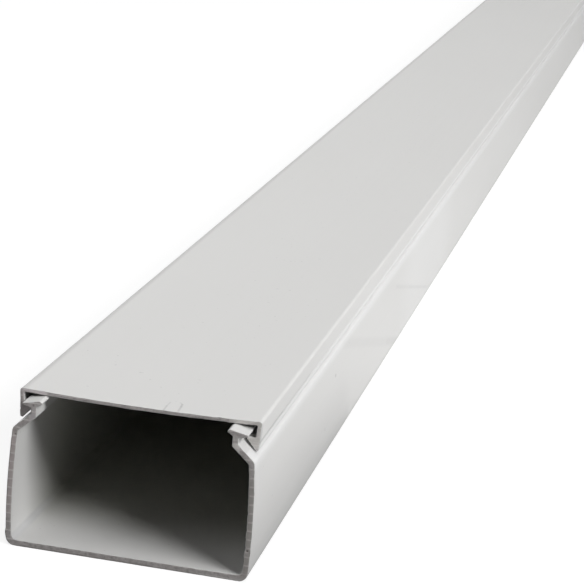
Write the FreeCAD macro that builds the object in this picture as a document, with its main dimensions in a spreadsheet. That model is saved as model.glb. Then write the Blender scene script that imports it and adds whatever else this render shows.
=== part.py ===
import FreeCAD, Part
import os

import Sketcher

# Two-piece wiring trunking, cut to one stock length and lying on its back.
# X runs across the channel, Y along it and Z from the back up to the cover.
# The origin is the middle of the back, halfway along the channel.

DOCUMENT_NAME = "cord_cover_raceway"
MATCH_TOLERANCE = 0.001

# Driving sizes in millimetres, and one slope in degrees
SIZES = {
    # Run of both pieces, and how far the cover sits back from the channel's near end
    "length": 1000.0,
    "cover_setback": 3.0,
    # Channel: back, and sides that bow out to the full width at widest_height
    "base_width": 40.0,
    "back_wall": 1.0,
    "side_wall": 0.95,
    "bow_radius": 140.0,
    "widest_height": 8.2,
    "foot_radius": 1.5,
    "foot_inner_radius": 1.0,
    # Channel: shoulders that lean in from the sides to a narrow neck
    "neck_inset": 3.3,
    "neck_height": 1.07,
    "shoulder_slope": 41.5,
    "shoulder_radius": 1.2,
    "shoulder_inner_radius": 0.4,
    # Channel: T-shaped lip on the neck, with its crown just under the cover
    "lip_reach": 1.45,
    "lip_fall": 0.58,
    "lip_edge": 0.33,
    "lip_rise": 0.32,
    "crown_reach": 0.45,
    "nose_reach": 1.1,
    "nose_drop": 0.35,
    "nose_radius": 0.25,
    "throat_rise": 0.2,
    # Cover: plate that dips towards its middle, and a grooved leg along each edge that leans in
    "overall_height": 25.4,
    "cover_inset": 0.42,
    "cover_wall": 0.62,
    "cover_dip": 0.4,
    "leg_wall": 0.7,
    "leg_lean": 0.2,
    "groove_height": 1.35,
    "groove_width": 0.3,
    "groove_depth": 0.08,
    "cover_edge_radius": 0.5,
    # Cover: narrow foot of each leg, just over the shoulder
    "leg_foot_width": 0.45,
    "leg_foot_gap": 0.25,
    "leg_foot_radius": 0.28,
    # Cover: barb on each leg, hooked under the lip, with its lower face sloping to the foot
    "hook_overlap": 0.7,
    "hook_play": 0.92,
    "barb_edge": 0.35,
    # Both: running clearance, and the small radii that an extrusion die leaves
    "slide_clearance": 0.1,
    "tip_radius": 0.12,
    "root_radius": 0.25,
}

# Places across that the sections share, as formulas on the sheet
HALF_WIDTH = "(Sizes.base_width / 2)"
NECK_OUTER = f"({HALF_WIDTH} - Sizes.neck_inset)"
NECK_INNER = f"({NECK_OUTER} - Sizes.side_wall)"
LIP_TIP = f"({NECK_OUTER} + Sizes.lip_reach)"
CROWN = f"({NECK_INNER} - Sizes.crown_reach)"
NOSE = f"({NECK_INNER} - Sizes.nose_reach)"
COVER_HALF = f"({HALF_WIDTH} - Sizes.cover_inset)"
LEG_INNER = f"({COVER_HALF} - Sizes.leg_wall)"
FOOT_OUTER = f"({COVER_HALF} - Sizes.leg_lean)"
FOOT_INNER = f"({FOOT_OUTER} - Sizes.leg_foot_width)"
BARB_TIP = f"({LIP_TIP} - Sizes.hook_overlap)"

# Heights, worked down from the top of the cover
PLATE_MIDDLE = "(Sizes.overall_height - Sizes.cover_dip)"
PLATE_OVER_CROWN = f"(Sizes.overall_height - Sizes.cover_dip * (1 - ({CROWN} / {COVER_HALF}) ^ 2))"
CROWN_HEIGHT = f"({PLATE_OVER_CROWN} - Sizes.cover_wall - Sizes.slide_clearance)"
LIP_TIP_TOP = f"({CROWN_HEIGHT} - Sizes.lip_fall)"
LIP_TIP_UNDER = f"({LIP_TIP_TOP} - Sizes.lip_edge)"
LIP_ROOT = f"({LIP_TIP_UNDER} - Sizes.lip_rise)"
THROAT = f"({LIP_ROOT} + Sizes.throat_rise)"
NECK_FOOT = f"({LIP_ROOT} - Sizes.neck_height)"
SLOPE_WALL = "Sizes.side_wall * (1 / cos(Sizes.shoulder_slope) - tan(Sizes.shoulder_slope))"
INNER_NECK_FOOT = f"({NECK_FOOT} - {SLOPE_WALL})"
SHOULDER_GUESS = f"({NECK_FOOT} - Sizes.neck_inset * tan(Sizes.shoulder_slope))"
BARB_SHELF = f"({LIP_TIP_UNDER} - Sizes.hook_play)"
BARB_FOOT = f"({BARB_SHELF} - Sizes.barb_edge)"
SHOULDER_BELOW_LEG = f"({NECK_FOOT} - ({FOOT_INNER} - {NECK_OUTER}) * tan(Sizes.shoulder_slope))"
LEG_FOOT = f"({SHOULDER_BELOW_LEG} + Sizes.leg_foot_gap / cos(Sizes.shoulder_slope))"
LEG_HEIGHT = f"(Sizes.overall_height - {LEG_FOOT})"
GROOVE_ROOT = f"({LEG_FOOT} + Sizes.groove_height)"
GROOVE_UNDER = f"({GROOVE_ROOT} - Sizes.groove_width / 2)"
GROOVE_OVER = f"({GROOVE_ROOT} + Sizes.groove_width / 2)"

# Centres and radii of the two gentle curves: the bowed side and the dipping plate
BOW_CENTRE = (f"({HALF_WIDTH} - Sizes.bow_radius)", "Sizes.widest_height")
INNER_BOW_RADIUS = "(Sizes.bow_radius - Sizes.side_wall)"
PLATE_RADIUS = f"(({COVER_HALF} ^ 2 + Sizes.cover_dip ^ 2) / (2 * Sizes.cover_dip))"
PLATE_UNDER_RADIUS = f"({PLATE_RADIUS} + Sizes.cover_wall)"
PLATE_CENTRE = ("0", f"({PLATE_MIDDLE} + {PLATE_RADIUS})")


def leaned(across, up):
    """How far across a leg's face lies at that height, from where it starts at the top of the cover."""
    return f"({across} - Sizes.leg_lean * (Sizes.overall_height - {up}) / {LEG_HEIGHT})"


def fill_sheet(doc):
    """Write the driving sizes into the sheet, one named cell each."""
    sheet = doc.addObject("Spreadsheet::Sheet", "Sizes")
    for row, (name, size) in enumerate(SIZES.items(), start=1):
        sheet.set(f"A{row}", name)
        sheet.set(f"B{row}", str(size))
        sheet.setAlias(f"B{row}", name)
    doc.recompute()


def origin_plane(body, role):
    """The body's own origin plane of that role."""
    return next(item for item in body.Origin.OriginFeatures if item.Role == role)


class HalfSection:
    """Closed outline of the +X half of a section, drawn edge after edge, anticlockwise.

    A corner is a pair of formulas, across and up. The coordinates named in held are
    dimensions. One that isn't held is a first guess, and the edges that meet there settle it.
    """

    ORIGIN = (-1, 1)
    CENTRE = 3

    def __init__(self, body, start, held="xz"):
        self.sketch = body.newObject("Sketcher::SketchObject", f"{body.Name}_section")
        self.sketch.AttachmentSupport = [(origin_plane(body, "XZ_Plane"), "")]
        self.sketch.MapMode = "FlatFace"
        self.start = start
        self.start_held = held
        self.last = start
        self.first_vertex = None
        self.last_vertex = None
        self.corners = {}

    def place(self, corner):
        """The corner as a point of the sketch."""
        across, up = (self.sketch.evalExpression(formula) for formula in corner)
        return FreeCAD.Vector(across, up, 0)

    def constrain(self, kind, *places):
        """Add one geometric constraint."""
        return self.sketch.addConstraint(Sketcher.Constraint(kind, *places))

    def dimension(self, label, kind, places, formula):
        """Add one named dimension and bind it to its formula."""
        number = self.constrain(kind, *places, self.sketch.evalExpression(formula))
        self.sketch.renameConstraint(number, label)
        self.sketch.setExpression(f"Constraints.{label}", formula)

    def hold(self, label, vertex, corner, held):
        """Measure the held coordinates of a vertex from the origin."""
        across, up = corner
        if "x" in held:
            self.dimension(f"{label}_across", "DistanceX", (*self.ORIGIN, *vertex), across)
        if "z" in held:
            self.dimension(f"{label}_up", "DistanceY", (*self.ORIGIN, *vertex), up)

    def join(self, edge, ends, corner, name, held):
        """Join an edge to the last one and hold the corner that it leads to."""
        first, second = ((edge, end) for end in ends)
        if self.first_vertex is None:
            self.first_vertex = first
            self.hold("start", first, self.start, self.start_held)
        else:
            self.constrain("Coincident", *self.last_vertex, *first)
        self.last = corner
        self.last_vertex = second
        self.corners[name] = second
        self.hold(name, second, corner, held)
        return edge

    def line_to(self, name, across, up, held="xz"):
        """Straight edge to the next corner."""
        corner = (across, up)
        edge = self.sketch.addGeometry(Part.LineSegment(self.place(self.last), self.place(corner)))
        return self.join(edge, (1, 2), corner, name, held)

    def arc_to(self, name, across, up, centre, radius, held):
        """Arc to the next corner, with its centre and radius as dimensions."""
        middle = self.place(centre)
        circle = Part.Circle(middle, FreeCAD.Vector(0, 0, 1), self.sketch.evalExpression(radius))
        points = [self.place(self.last), self.place((across, up))]
        ends = (1, 2)
        if (points[0] - middle).cross(points[1] - middle).z < 0:
            points.reverse()
            ends = (2, 1)
        edge = self.sketch.addGeometry(Part.ArcOfCircle(circle, *map(circle.parameter, points)))
        self.join(edge, ends, (across, up), name, held)
        self.hold(f"{name}_centre", (edge, self.CENTRE), centre, "xz")
        self.dimension(f"{name}_radius", "Radius", (edge,), radius)
        return edge

    def close(self):
        """Straight edge back to the start, along the centre line."""
        edge = self.line_to("end", *self.start, held="")
        self.constrain("Coincident", edge, 2, *self.first_vertex)

    def solved(self, name):
        """Where a corner lies once the sketch is solved, across and up."""
        point = self.sketch.getPoint(*self.corners[name])
        return point.x, point.y


def extrude_halves(body, section):
    """Pad the half section along Y, both ways from the middle, and mirror it across X."""
    pad = body.newObject("PartDesign::Pad", f"{body.Name}_half")
    pad.Profile = section.sketch
    pad.SideType = "Symmetric"
    pad.setExpression("Length", "Sizes.length")
    mirrored = body.newObject("PartDesign::Mirrored", f"{body.Name}_halves")
    mirrored.Originals = [pad]
    mirrored.MirrorPlane = (origin_plane(body, "YZ_Plane"), [""])
    body.Tip = mirrored
    body.Document.recompute()


def is_long_edge_at(edge, across, up):
    """True for an edge along Y at that distance from the centre line and that height."""
    ends = [vertex.Point for vertex in edge.Vertexes]
    misses = [max(abs(abs(end.x) - across), abs(end.z - up)) for end in ends]
    runs_along = abs(ends[0].y - ends[-1].y) > MATCH_TOLERANCE
    return runs_along and max(misses) < MATCH_TOLERANCE


def round_corners(body, section, radius, names):
    """Fillet the long edges of the named corners, on both halves."""
    base = body.Tip
    places = [section.solved(name) for name in names]
    edges = [
        f"Edge{number}"
        for number, edge in enumerate(base.Shape.Edges, start=1)
        if any(is_long_edge_at(edge, *place) for place in places)
    ]
    fillet = body.newObject("PartDesign::Fillet", f"{body.Name}_{radius}")
    fillet.Base = (base, edges)
    fillet.setExpression("Radius", f"Sizes.{radius}")
    body.Tip = fillet
    body.Document.recompute()


def make_base_channel(doc):
    """The channel: back, bowed sides, shoulders, necks and T-shaped lips, in one extrusion."""
    body = doc.addObject("PartDesign::Body", "base_channel")
    section = HalfSection(body, ("0", "0"))
    section.line_to("foot", HALF_WIDTH, "0", held="z")
    section.arc_to("shoulder", HALF_WIDTH, SHOULDER_GUESS, BOW_CENTRE, "Sizes.bow_radius", held="")
    slope = section.line_to("neck_foot", NECK_OUTER, NECK_FOOT)
    section.dimension("slope", "Angle", (slope,), "(180 - Sizes.shoulder_slope) * 1 deg")
    section.line_to("lip_root", NECK_OUTER, LIP_ROOT)
    section.line_to("lip_tip_under", LIP_TIP, LIP_TIP_UNDER)
    section.line_to("lip_tip_top", LIP_TIP, LIP_TIP_TOP)
    section.line_to("crown", CROWN, CROWN_HEIGHT)
    section.line_to("nose", NOSE, f"{CROWN_HEIGHT} - Sizes.nose_drop")
    section.line_to("throat", NECK_INNER, THROAT)
    section.line_to("inner_neck_foot", NECK_INNER, INNER_NECK_FOOT)
    inner_slope = section.line_to("inner_shoulder", HALF_WIDTH, SHOULDER_GUESS, held="")
    section.constrain("Parallel", slope, inner_slope)
    section.arc_to("inner_foot", HALF_WIDTH, "Sizes.back_wall", BOW_CENTRE, INNER_BOW_RADIUS, held="z")
    section.line_to("inner_middle", "0", "Sizes.back_wall")
    section.close()
    doc.recompute()

    extrude_halves(body, section)
    round_corners(body, section, "foot_radius", ["foot"])
    round_corners(body, section, "foot_inner_radius", ["inner_foot"])
    round_corners(body, section, "shoulder_radius", ["shoulder"])
    round_corners(body, section, "shoulder_inner_radius", ["inner_shoulder"])
    round_corners(body, section, "root_radius", ["neck_foot", "lip_root", "throat", "inner_neck_foot"])
    round_corners(body, section, "nose_radius", ["nose", "crown"])
    round_corners(body, section, "tip_radius", ["lip_tip_under", "lip_tip_top"])
    return body


def make_clip_cover(doc):
    """The cover: a dipping plate, two legs, and the barbs that hook under the channel's lips.

    Each leg leans in towards its foot and has a fine V-groove along its outer face.
    """
    body = doc.addObject("PartDesign::Body", "clip_cover")
    body.setExpression("Placement.Base.y", "Sizes.cover_setback")
    plate_under = f"{PLATE_MIDDLE} - Sizes.cover_wall"
    section = HalfSection(body, ("0", plate_under), held="x")
    section.arc_to("leg_root", LEG_INNER, plate_under, PLATE_CENTRE, PLATE_UNDER_RADIUS, held="x")
    section.line_to("shelf_root", leaned(LEG_INNER, BARB_SHELF), BARB_SHELF)
    section.line_to("barb_top", BARB_TIP, BARB_SHELF)
    section.line_to("barb_foot", BARB_TIP, BARB_FOOT)
    section.line_to("leg_foot_inner", FOOT_INNER, LEG_FOOT)
    section.line_to("leg_foot_outer", FOOT_OUTER, LEG_FOOT)
    section.line_to("groove_under", leaned(COVER_HALF, GROOVE_UNDER), GROOVE_UNDER)
    section.line_to("groove_root", f"{leaned(COVER_HALF, GROOVE_ROOT)} - Sizes.groove_depth", GROOVE_ROOT)
    section.line_to("groove_over", leaned(COVER_HALF, GROOVE_OVER), GROOVE_OVER)
    section.line_to("cover_edge", COVER_HALF, "Sizes.overall_height", held="x")
    section.arc_to("middle", "0", PLATE_MIDDLE, PLATE_CENTRE, PLATE_RADIUS, held="x")
    section.close()
    doc.recompute()

    extrude_halves(body, section)
    round_corners(body, section, "cover_edge_radius", ["cover_edge"])
    round_corners(body, section, "leg_foot_radius", ["leg_foot_outer"])
    round_corners(body, section, "root_radius", ["leg_root", "shelf_root"])
    round_corners(body, section, "tip_radius", ["barb_top", "barb_foot", "leg_foot_inner"])
    return body


def check(doc, bodies):
    """Stop on any object that failed, and on any empty or broken piece."""
    for item in doc.Objects:
        if {"Invalid", "Error"} & set(item.State):
            raise RuntimeError(f"{item.Name} failed: {item.State}")
    for body in bodies:
        if body.Shape.isNull() or not body.Shape.isValid() or len(body.Shape.Solids) != 1:
            raise RuntimeError(f"{body.Name} is not one sound solid")


def main():
    """Build both pieces and write one STEP file for each."""
    doc = FreeCAD.newDocument(DOCUMENT_NAME)
    fill_sheet(doc)
    bodies = [make_base_channel(doc), make_clip_cover(doc)]
    doc.recompute()
    check(doc, bodies)
    os.makedirs("parts", exist_ok=True)
    for body in bodies:
        body.Shape.exportStep(os.path.join("parts", f"{body.Label}.step"))
        box = body.Shape.BoundBox
        print(f"{body.Label}: {box.XLength:.2f} x {box.YLength:.2f} x {box.ZLength:.2f} mm")


main()
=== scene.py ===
"""Looks of a two-piece wiring trunking: an open channel that holds cords, and its clip-on cover.

X runs across the channel, Y along it and Z up from its flat back. Objects are in metres. The two
sections are drawn in millimetres, because they are fine.
"""

import logging
import math
from dataclasses import dataclass, field
from enum import Enum
from typing import Any, Mapping, Sequence

import bpy
import numpy as np
from mathutils import Euler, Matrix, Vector
from mathutils.geometry import delaunay_2d_cdt


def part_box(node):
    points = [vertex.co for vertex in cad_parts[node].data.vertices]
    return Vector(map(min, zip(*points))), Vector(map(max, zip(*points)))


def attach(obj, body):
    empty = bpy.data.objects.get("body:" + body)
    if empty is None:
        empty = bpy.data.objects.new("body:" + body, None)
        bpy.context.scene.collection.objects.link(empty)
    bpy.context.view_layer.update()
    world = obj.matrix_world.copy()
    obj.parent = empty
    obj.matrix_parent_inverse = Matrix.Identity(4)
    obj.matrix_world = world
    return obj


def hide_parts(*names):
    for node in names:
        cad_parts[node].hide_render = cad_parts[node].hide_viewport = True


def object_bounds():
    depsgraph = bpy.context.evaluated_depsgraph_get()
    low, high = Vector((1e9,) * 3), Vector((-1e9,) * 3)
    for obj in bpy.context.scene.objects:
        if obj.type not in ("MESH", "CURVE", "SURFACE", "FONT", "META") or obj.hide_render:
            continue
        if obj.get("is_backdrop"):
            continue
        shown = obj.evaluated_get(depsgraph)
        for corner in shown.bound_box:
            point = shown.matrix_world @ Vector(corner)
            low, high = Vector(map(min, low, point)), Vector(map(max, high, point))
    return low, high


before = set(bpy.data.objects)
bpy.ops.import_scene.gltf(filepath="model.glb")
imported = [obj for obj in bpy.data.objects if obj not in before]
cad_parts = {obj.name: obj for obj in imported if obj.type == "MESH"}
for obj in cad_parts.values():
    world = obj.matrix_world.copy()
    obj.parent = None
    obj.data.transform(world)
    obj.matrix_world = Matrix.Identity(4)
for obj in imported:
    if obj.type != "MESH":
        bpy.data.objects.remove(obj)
CAD_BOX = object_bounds()

LOG = logging.getLogger("raceway")
MM = 0.001

# The shortest step of an outline, and how near each other points of a cut face are one, in
# millimetres, and the least turn of an arc, in radians
SHORTEST_STEP = 1e-5
MERGED_WITHIN = 1e-6
LEAST_TURN = 1e-6
# The triangulation's option that leaves only what is inside the outline
INSIDE_ONLY = 1

Array = np.ndarray
Colour = tuple[float, float, float, float]


def unit(vectors: Array) -> Array:
    """Vectors scaled to length one; one of no length stays as it is.

    Args:
        vectors: Rows of components.

    Returns:
        The rows, each divided by its own length.
    """
    length = np.linalg.norm(vectors, axis=-1, keepdims=True)
    return vectors / np.where(length > 0, length, 1)


@dataclass(frozen=True)
class Corner:
    """A corner of a section, in millimetres, and the radius that it is rounded to."""

    across: float
    up: float
    radius: float = 0.0


@dataclass(frozen=True)
class Circle:
    """The circle that a gently curved wall follows, in millimetres."""

    across: float
    up: float
    radius: float

    def across_at(self, up: Array | float) -> Array:
        """Where the +X side of the circle lies at a height."""
        return self.across + np.sqrt(self.radius**2 - (up - self.up) ** 2)

    def below_at(self, across: Array | float) -> Array:
        """How high the underside of the circle lies at a distance across."""
        return self.up - np.sqrt(self.radius**2 - (across - self.across) ** 2)

    def meets(self, start: tuple[float, float], slope: float) -> tuple[float, float]:
        """Where a line that falls away outwards from a point leaves the circle.

        The line is start + t (cos slope, -sin slope). Put into the circle's equation it gives a
        quadratic in t, and the point that is wanted is at its larger root.

        Args:
            start: A point inside the circle, across and up.
            slope: How steeply the line falls, in degrees.

        Returns:
            The crossing, across and up.
        """
        direction = np.array([math.cos(math.radians(slope)), -math.sin(math.radians(slope))])
        offset = np.array(start) - (self.across, self.up)
        along = float(offset @ direction)
        run = -along + math.sqrt(along**2 - float(offset @ offset) + self.radius**2)
        across, up = np.array(start) + run * direction
        return float(across), float(up)


def rounded(corners: Sequence[Corner], arc_steps: int) -> Array:
    """Closed outline in which an arc, tangent to both edges, takes the place of each corner.

    With h half the angle between the two edges, the arc starts and ends radius / tan h from the
    corner, and its centre lies radius / sin h from it on their bisector. Its points turn evenly
    from the first spoke to the last.

    Args:
        corners: The corners in order. A radius of 0 leaves the corner as it is.
        arc_steps: How many edges an arc has.

    Returns:
        Points (across, up), without repeats.
    """
    place = np.array([(corner.across, corner.up) for corner in corners])
    radius = np.array([[corner.radius] for corner in corners])
    back = unit(np.roll(place, 1, axis=0) - place)
    ahead = unit(np.roll(place, -1, axis=0) - place)
    half = 0.5 * np.arccos(np.clip((back * ahead).sum(axis=1, keepdims=True), -1, 1))
    centre = place + unit(back + ahead) * radius / np.sin(half)
    spokes = [place + edge * radius / np.tan(half) - centre for edge in (back, ahead)]
    turn = np.maximum(np.pi - 2 * half, LEAST_TURN)[:, None]
    share = np.linspace(0, 1, arc_steps + 1)[None, :, None]
    weights = [np.sin((1 - share) * turn) / np.sin(turn), np.sin(share * turn) / np.sin(turn)]
    points = centre[:, None] + sum(w * spoke[:, None] for w, spoke in zip(weights, spokes))
    points = points.reshape(-1, 2)
    moved = np.linalg.norm(points - np.roll(points, 1, axis=0), axis=1) > SHORTEST_STEP
    return points[moved]


def divided(outline: Array, spacing: float) -> Array:
    """The same closed outline, with long edges cut into equal parts.

    Args:
        outline: Points (across, up) of the closed outline.
        spacing: The longest edge that is left.

    Returns:
        Points on the same edges, each corner among them.
    """
    step = np.roll(outline, -1, axis=0) - outline
    count = np.maximum(1, np.ceil(np.linalg.norm(step, axis=1) / spacing)).astype(int)
    number = np.arange(count.sum()) - np.repeat(np.cumsum(count) - count, count)
    share = number / np.repeat(count, count)
    return np.repeat(outline, count, axis=0) + np.repeat(step, count, axis=0) * share[:, None]


def outward(outline: Array) -> Array:
    """Unit normals of an outline that runs anticlockwise, each from the two points beside it."""
    tangent = unit(np.roll(outline, -1, axis=0) - np.roll(outline, 1, axis=0))
    return np.stack([tangent[:, 1], -tangent[:, 0]], axis=1)


def inside(points: Array, outline: Array) -> Array:
    """Which points lie in a closed outline, by counting the edges that each one's ray crosses.

    Args:
        points: Points (across, up).
        outline: Points (across, up) of the closed outline.

    Returns:
        True for each point inside.
    """
    start, end = outline, np.roll(outline, -1, axis=0)
    across, up = points[:, :1], points[:, 1:]
    spans = (start[:, 1] > up) != (end[:, 1] > up)
    rise = np.where(end[:, 1] == start[:, 1], 1, end[:, 1] - start[:, 1])
    crossing = start[:, 0] + (up - start[:, 1]) * (end[:, 0] - start[:, 0]) / rise
    return (spans & (across < crossing)).sum(axis=1) % 2 == 1


def mirrored(half: Sequence[Corner]) -> list[Corner]:
    """A whole section from its +X half, which starts and ends at the centre line."""
    return [*half, *(Corner(-corner.across, corner.up, corner.radius) for corner in reversed(half))]


@dataclass(frozen=True)
class ChannelSection:
    """Section of the channel in millimetres, measured as the solid piece is.

    The sides bow out along a circle. Shoulders lean in from them to a neck, which carries a
    T-shaped lip with its crown just under the cover.
    """

    width: float = 40.0
    back_wall: float = 1.0
    side_wall: float = 0.95
    bow_radius: float = 140.0
    widest_height: float = 8.2
    foot_radius: float = 1.5
    foot_inner_radius: float = 1.0
    neck_inset: float = 3.3
    neck_height: float = 1.07
    shoulder_slope: float = 41.5
    shoulder_radius: float = 1.2
    shoulder_inner_radius: float = 0.4
    lip_reach: float = 1.45
    lip_fall: float = 0.58
    lip_edge: float = 0.33
    lip_rise: float = 0.32
    crown_reach: float = 0.45
    nose_reach: float = 1.1
    nose_drop: float = 0.35
    nose_radius: float = 0.25
    throat_rise: float = 0.2
    tip_radius: float = 0.12
    root_radius: float = 0.25
    bow_steps: int = 10

    @property
    def neck_outer(self) -> float:
        """Outer face of the neck, from the centre line."""
        return self.width / 2 - self.neck_inset

    @property
    def neck_inner(self) -> float:
        """Inner face of the neck, from the centre line."""
        return self.neck_outer - self.side_wall

    @property
    def lip_tip(self) -> float:
        """Tip of the lip, from the centre line."""
        return self.neck_outer + self.lip_reach

    @property
    def crown(self) -> float:
        """Highest line of the lip, from the centre line."""
        return self.neck_inner - self.crown_reach

    def lip_tip_under(self, crown_height: float) -> float:
        """How high the underside of the lip's tip lies, under a crown of that height."""
        return crown_height - self.lip_fall - self.lip_edge

    def neck_foot(self, crown_height: float) -> float:
        """How high the neck starts from the shoulder, under a crown of that height."""
        return self.lip_tip_under(crown_height) - self.lip_rise - self.neck_height

    def outline(self, crown_height: float) -> list[Corner]:
        """Corners of the whole section.

        Args:
            crown_height: How high the crown of the lip lies.

        Returns:
            The corners, anticlockwise seen from the near end.
        """
        bow = Circle(self.width / 2 - self.bow_radius, self.widest_height, self.bow_radius)
        inner_bow = Circle(bow.across, bow.up, self.bow_radius - self.side_wall)
        tangent = math.tan(math.radians(self.shoulder_slope))
        secant = 1 / math.cos(math.radians(self.shoulder_slope))
        lip_tip_under = self.lip_tip_under(crown_height)
        lip_root = lip_tip_under - self.lip_rise
        neck_foot = self.neck_foot(crown_height)
        inner_neck_foot = neck_foot - self.side_wall * (secant - tangent)
        shoulder = bow.meets((self.neck_outer, neck_foot), self.shoulder_slope)
        inner_shoulder = inner_bow.meets((self.neck_inner, inner_neck_foot), self.shoulder_slope)
        share = np.linspace(0, 1, self.bow_steps + 1)[1:-1]
        rise = share * shoulder[1]
        fall = inner_shoulder[1] + share * (self.back_wall - inner_shoulder[1])
        return mirrored([
            Corner(float(bow.across_at(0.0)), 0.0, self.foot_radius),
            *(Corner(*place) for place in zip(bow.across_at(rise), rise)),
            Corner(*shoulder, self.shoulder_radius),
            Corner(self.neck_outer, neck_foot, self.root_radius),
            Corner(self.neck_outer, lip_root, self.root_radius),
            Corner(self.lip_tip, lip_tip_under, self.tip_radius),
            Corner(self.lip_tip, crown_height - self.lip_fall, self.tip_radius),
            Corner(self.crown, crown_height, self.nose_radius),
            Corner(self.neck_inner - self.nose_reach, crown_height - self.nose_drop, self.nose_radius),
            Corner(self.neck_inner, lip_root + self.throat_rise, self.root_radius),
            Corner(self.neck_inner, inner_neck_foot, self.root_radius),
            Corner(*inner_shoulder, self.shoulder_inner_radius),
            *(Corner(*place) for place in zip(inner_bow.across_at(fall), fall)),
            Corner(float(inner_bow.across_at(self.back_wall)), self.back_wall, self.foot_inner_radius),
        ])


@dataclass(frozen=True)
class CoverSection:
    """Section of the cover in millimetres, measured as the solid piece is.

    The plate dips towards its middle. A leg along each edge leans in, has a fine groove along its
    outer face, and ends in a barb that hooks under the channel's lip.
    """

    height: float = 25.4
    inset: float = 0.42
    wall: float = 0.62
    dip: float = 0.4
    leg_wall: float = 0.7
    leg_lean: float = 0.2
    groove_height: float = 1.35
    groove_width: float = 0.3
    groove_depth: float = 0.08
    edge_radius: float = 0.5
    leg_foot_width: float = 0.45
    leg_foot_gap: float = 0.25
    leg_foot_radius: float = 0.28
    hook_overlap: float = 0.7
    hook_play: float = 0.92
    barb_edge: float = 0.35
    clearance: float = 0.1
    tip_radius: float = 0.12
    root_radius: float = 0.25
    plate_steps: int = 12

    def half(self, channel: ChannelSection) -> float:
        """Half the width of the cover on that channel."""
        return channel.width / 2 - self.inset

    def crown_height(self, channel: ChannelSection) -> float:
        """How high the channel's crown may reach under the plate, by the parabola of its dip."""
        plate = self.height - self.dip * (1 - (channel.crown / self.half(channel)) ** 2)
        return plate - self.wall - self.clearance

    def outline(self, channel: ChannelSection) -> list[Corner]:
        """Corners of the whole section.

        Args:
            channel: The section that the cover clips on to.

        Returns:
            The corners, anticlockwise seen from the near end.
        """
        half = self.half(channel)
        crown_height = self.crown_height(channel)
        middle = self.height - self.dip
        radius = (half**2 + self.dip**2) / (2 * self.dip)
        top = Circle(0.0, middle + radius, radius)
        under = Circle(0.0, top.up, radius + self.wall)
        leg_inner = half - self.leg_wall
        foot_outer = half - self.leg_lean
        foot_inner = foot_outer - self.leg_foot_width
        tangent = math.tan(math.radians(channel.shoulder_slope))
        secant = 1 / math.cos(math.radians(channel.shoulder_slope))
        shoulder = channel.neck_foot(crown_height) - (foot_inner - channel.neck_outer) * tangent
        foot = shoulder + self.leg_foot_gap * secant
        barb_tip = channel.lip_tip - self.hook_overlap
        shelf = channel.lip_tip_under(crown_height) - self.hook_play
        groove = foot + self.groove_height
        under_groove, over_groove = groove - self.groove_width / 2, groove + self.groove_width / 2

        def leaned(across: float, up: float) -> float:
            """How far across a leg's face lies at a height."""
            return across - self.leg_lean * (self.height - up) / (self.height - foot)

        spread = (np.arange(self.plate_steps) + 0.5) / self.plate_steps
        outwards = spread * leg_inner * (1 - 0.5 / self.plate_steps)
        inwards = spread[::-1] * half * (1 - 0.5 / self.plate_steps)
        return mirrored([
            *(Corner(*place) for place in zip(outwards, under.below_at(outwards))),
            Corner(leg_inner, float(under.below_at(leg_inner)), self.root_radius),
            Corner(leaned(leg_inner, shelf), shelf, self.root_radius),
            Corner(barb_tip, shelf, self.tip_radius),
            Corner(barb_tip, shelf - self.barb_edge, self.tip_radius),
            Corner(foot_inner, foot, self.tip_radius),
            Corner(foot_outer, foot, self.leg_foot_radius),
            Corner(leaned(half, under_groove), under_groove),
            Corner(leaned(half, groove) - self.groove_depth, groove),
            Corner(leaned(half, over_groove), over_groove),
            Corner(half, self.height, self.edge_radius),
            *(Corner(*place) for place in zip(inwards, top.below_at(inwards))),
        ])


@dataclass(frozen=True)
class Dent:
    """A spot on a cut end, in millimetres: how far the saw left it out (+) or tore it in (-)."""

    across: float
    up: float
    reach: float
    height: float

    def at(self, points: Array) -> Array:
        """Its height at each point: a bell that falls to a third at its reach."""
        distance = np.hypot(points[:, 0] - self.across, points[:, 1] - self.up)
        return self.height * np.exp(-((distance / self.reach) ** 2))


@dataclass(frozen=True)
class Blade:
    """The nearly level marks of a saw, in millimetres: their pitch, one mark's height, and slope."""

    pitch: float = 1.44
    mark: float = 1.18
    slope: float = 0.0062


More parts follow.
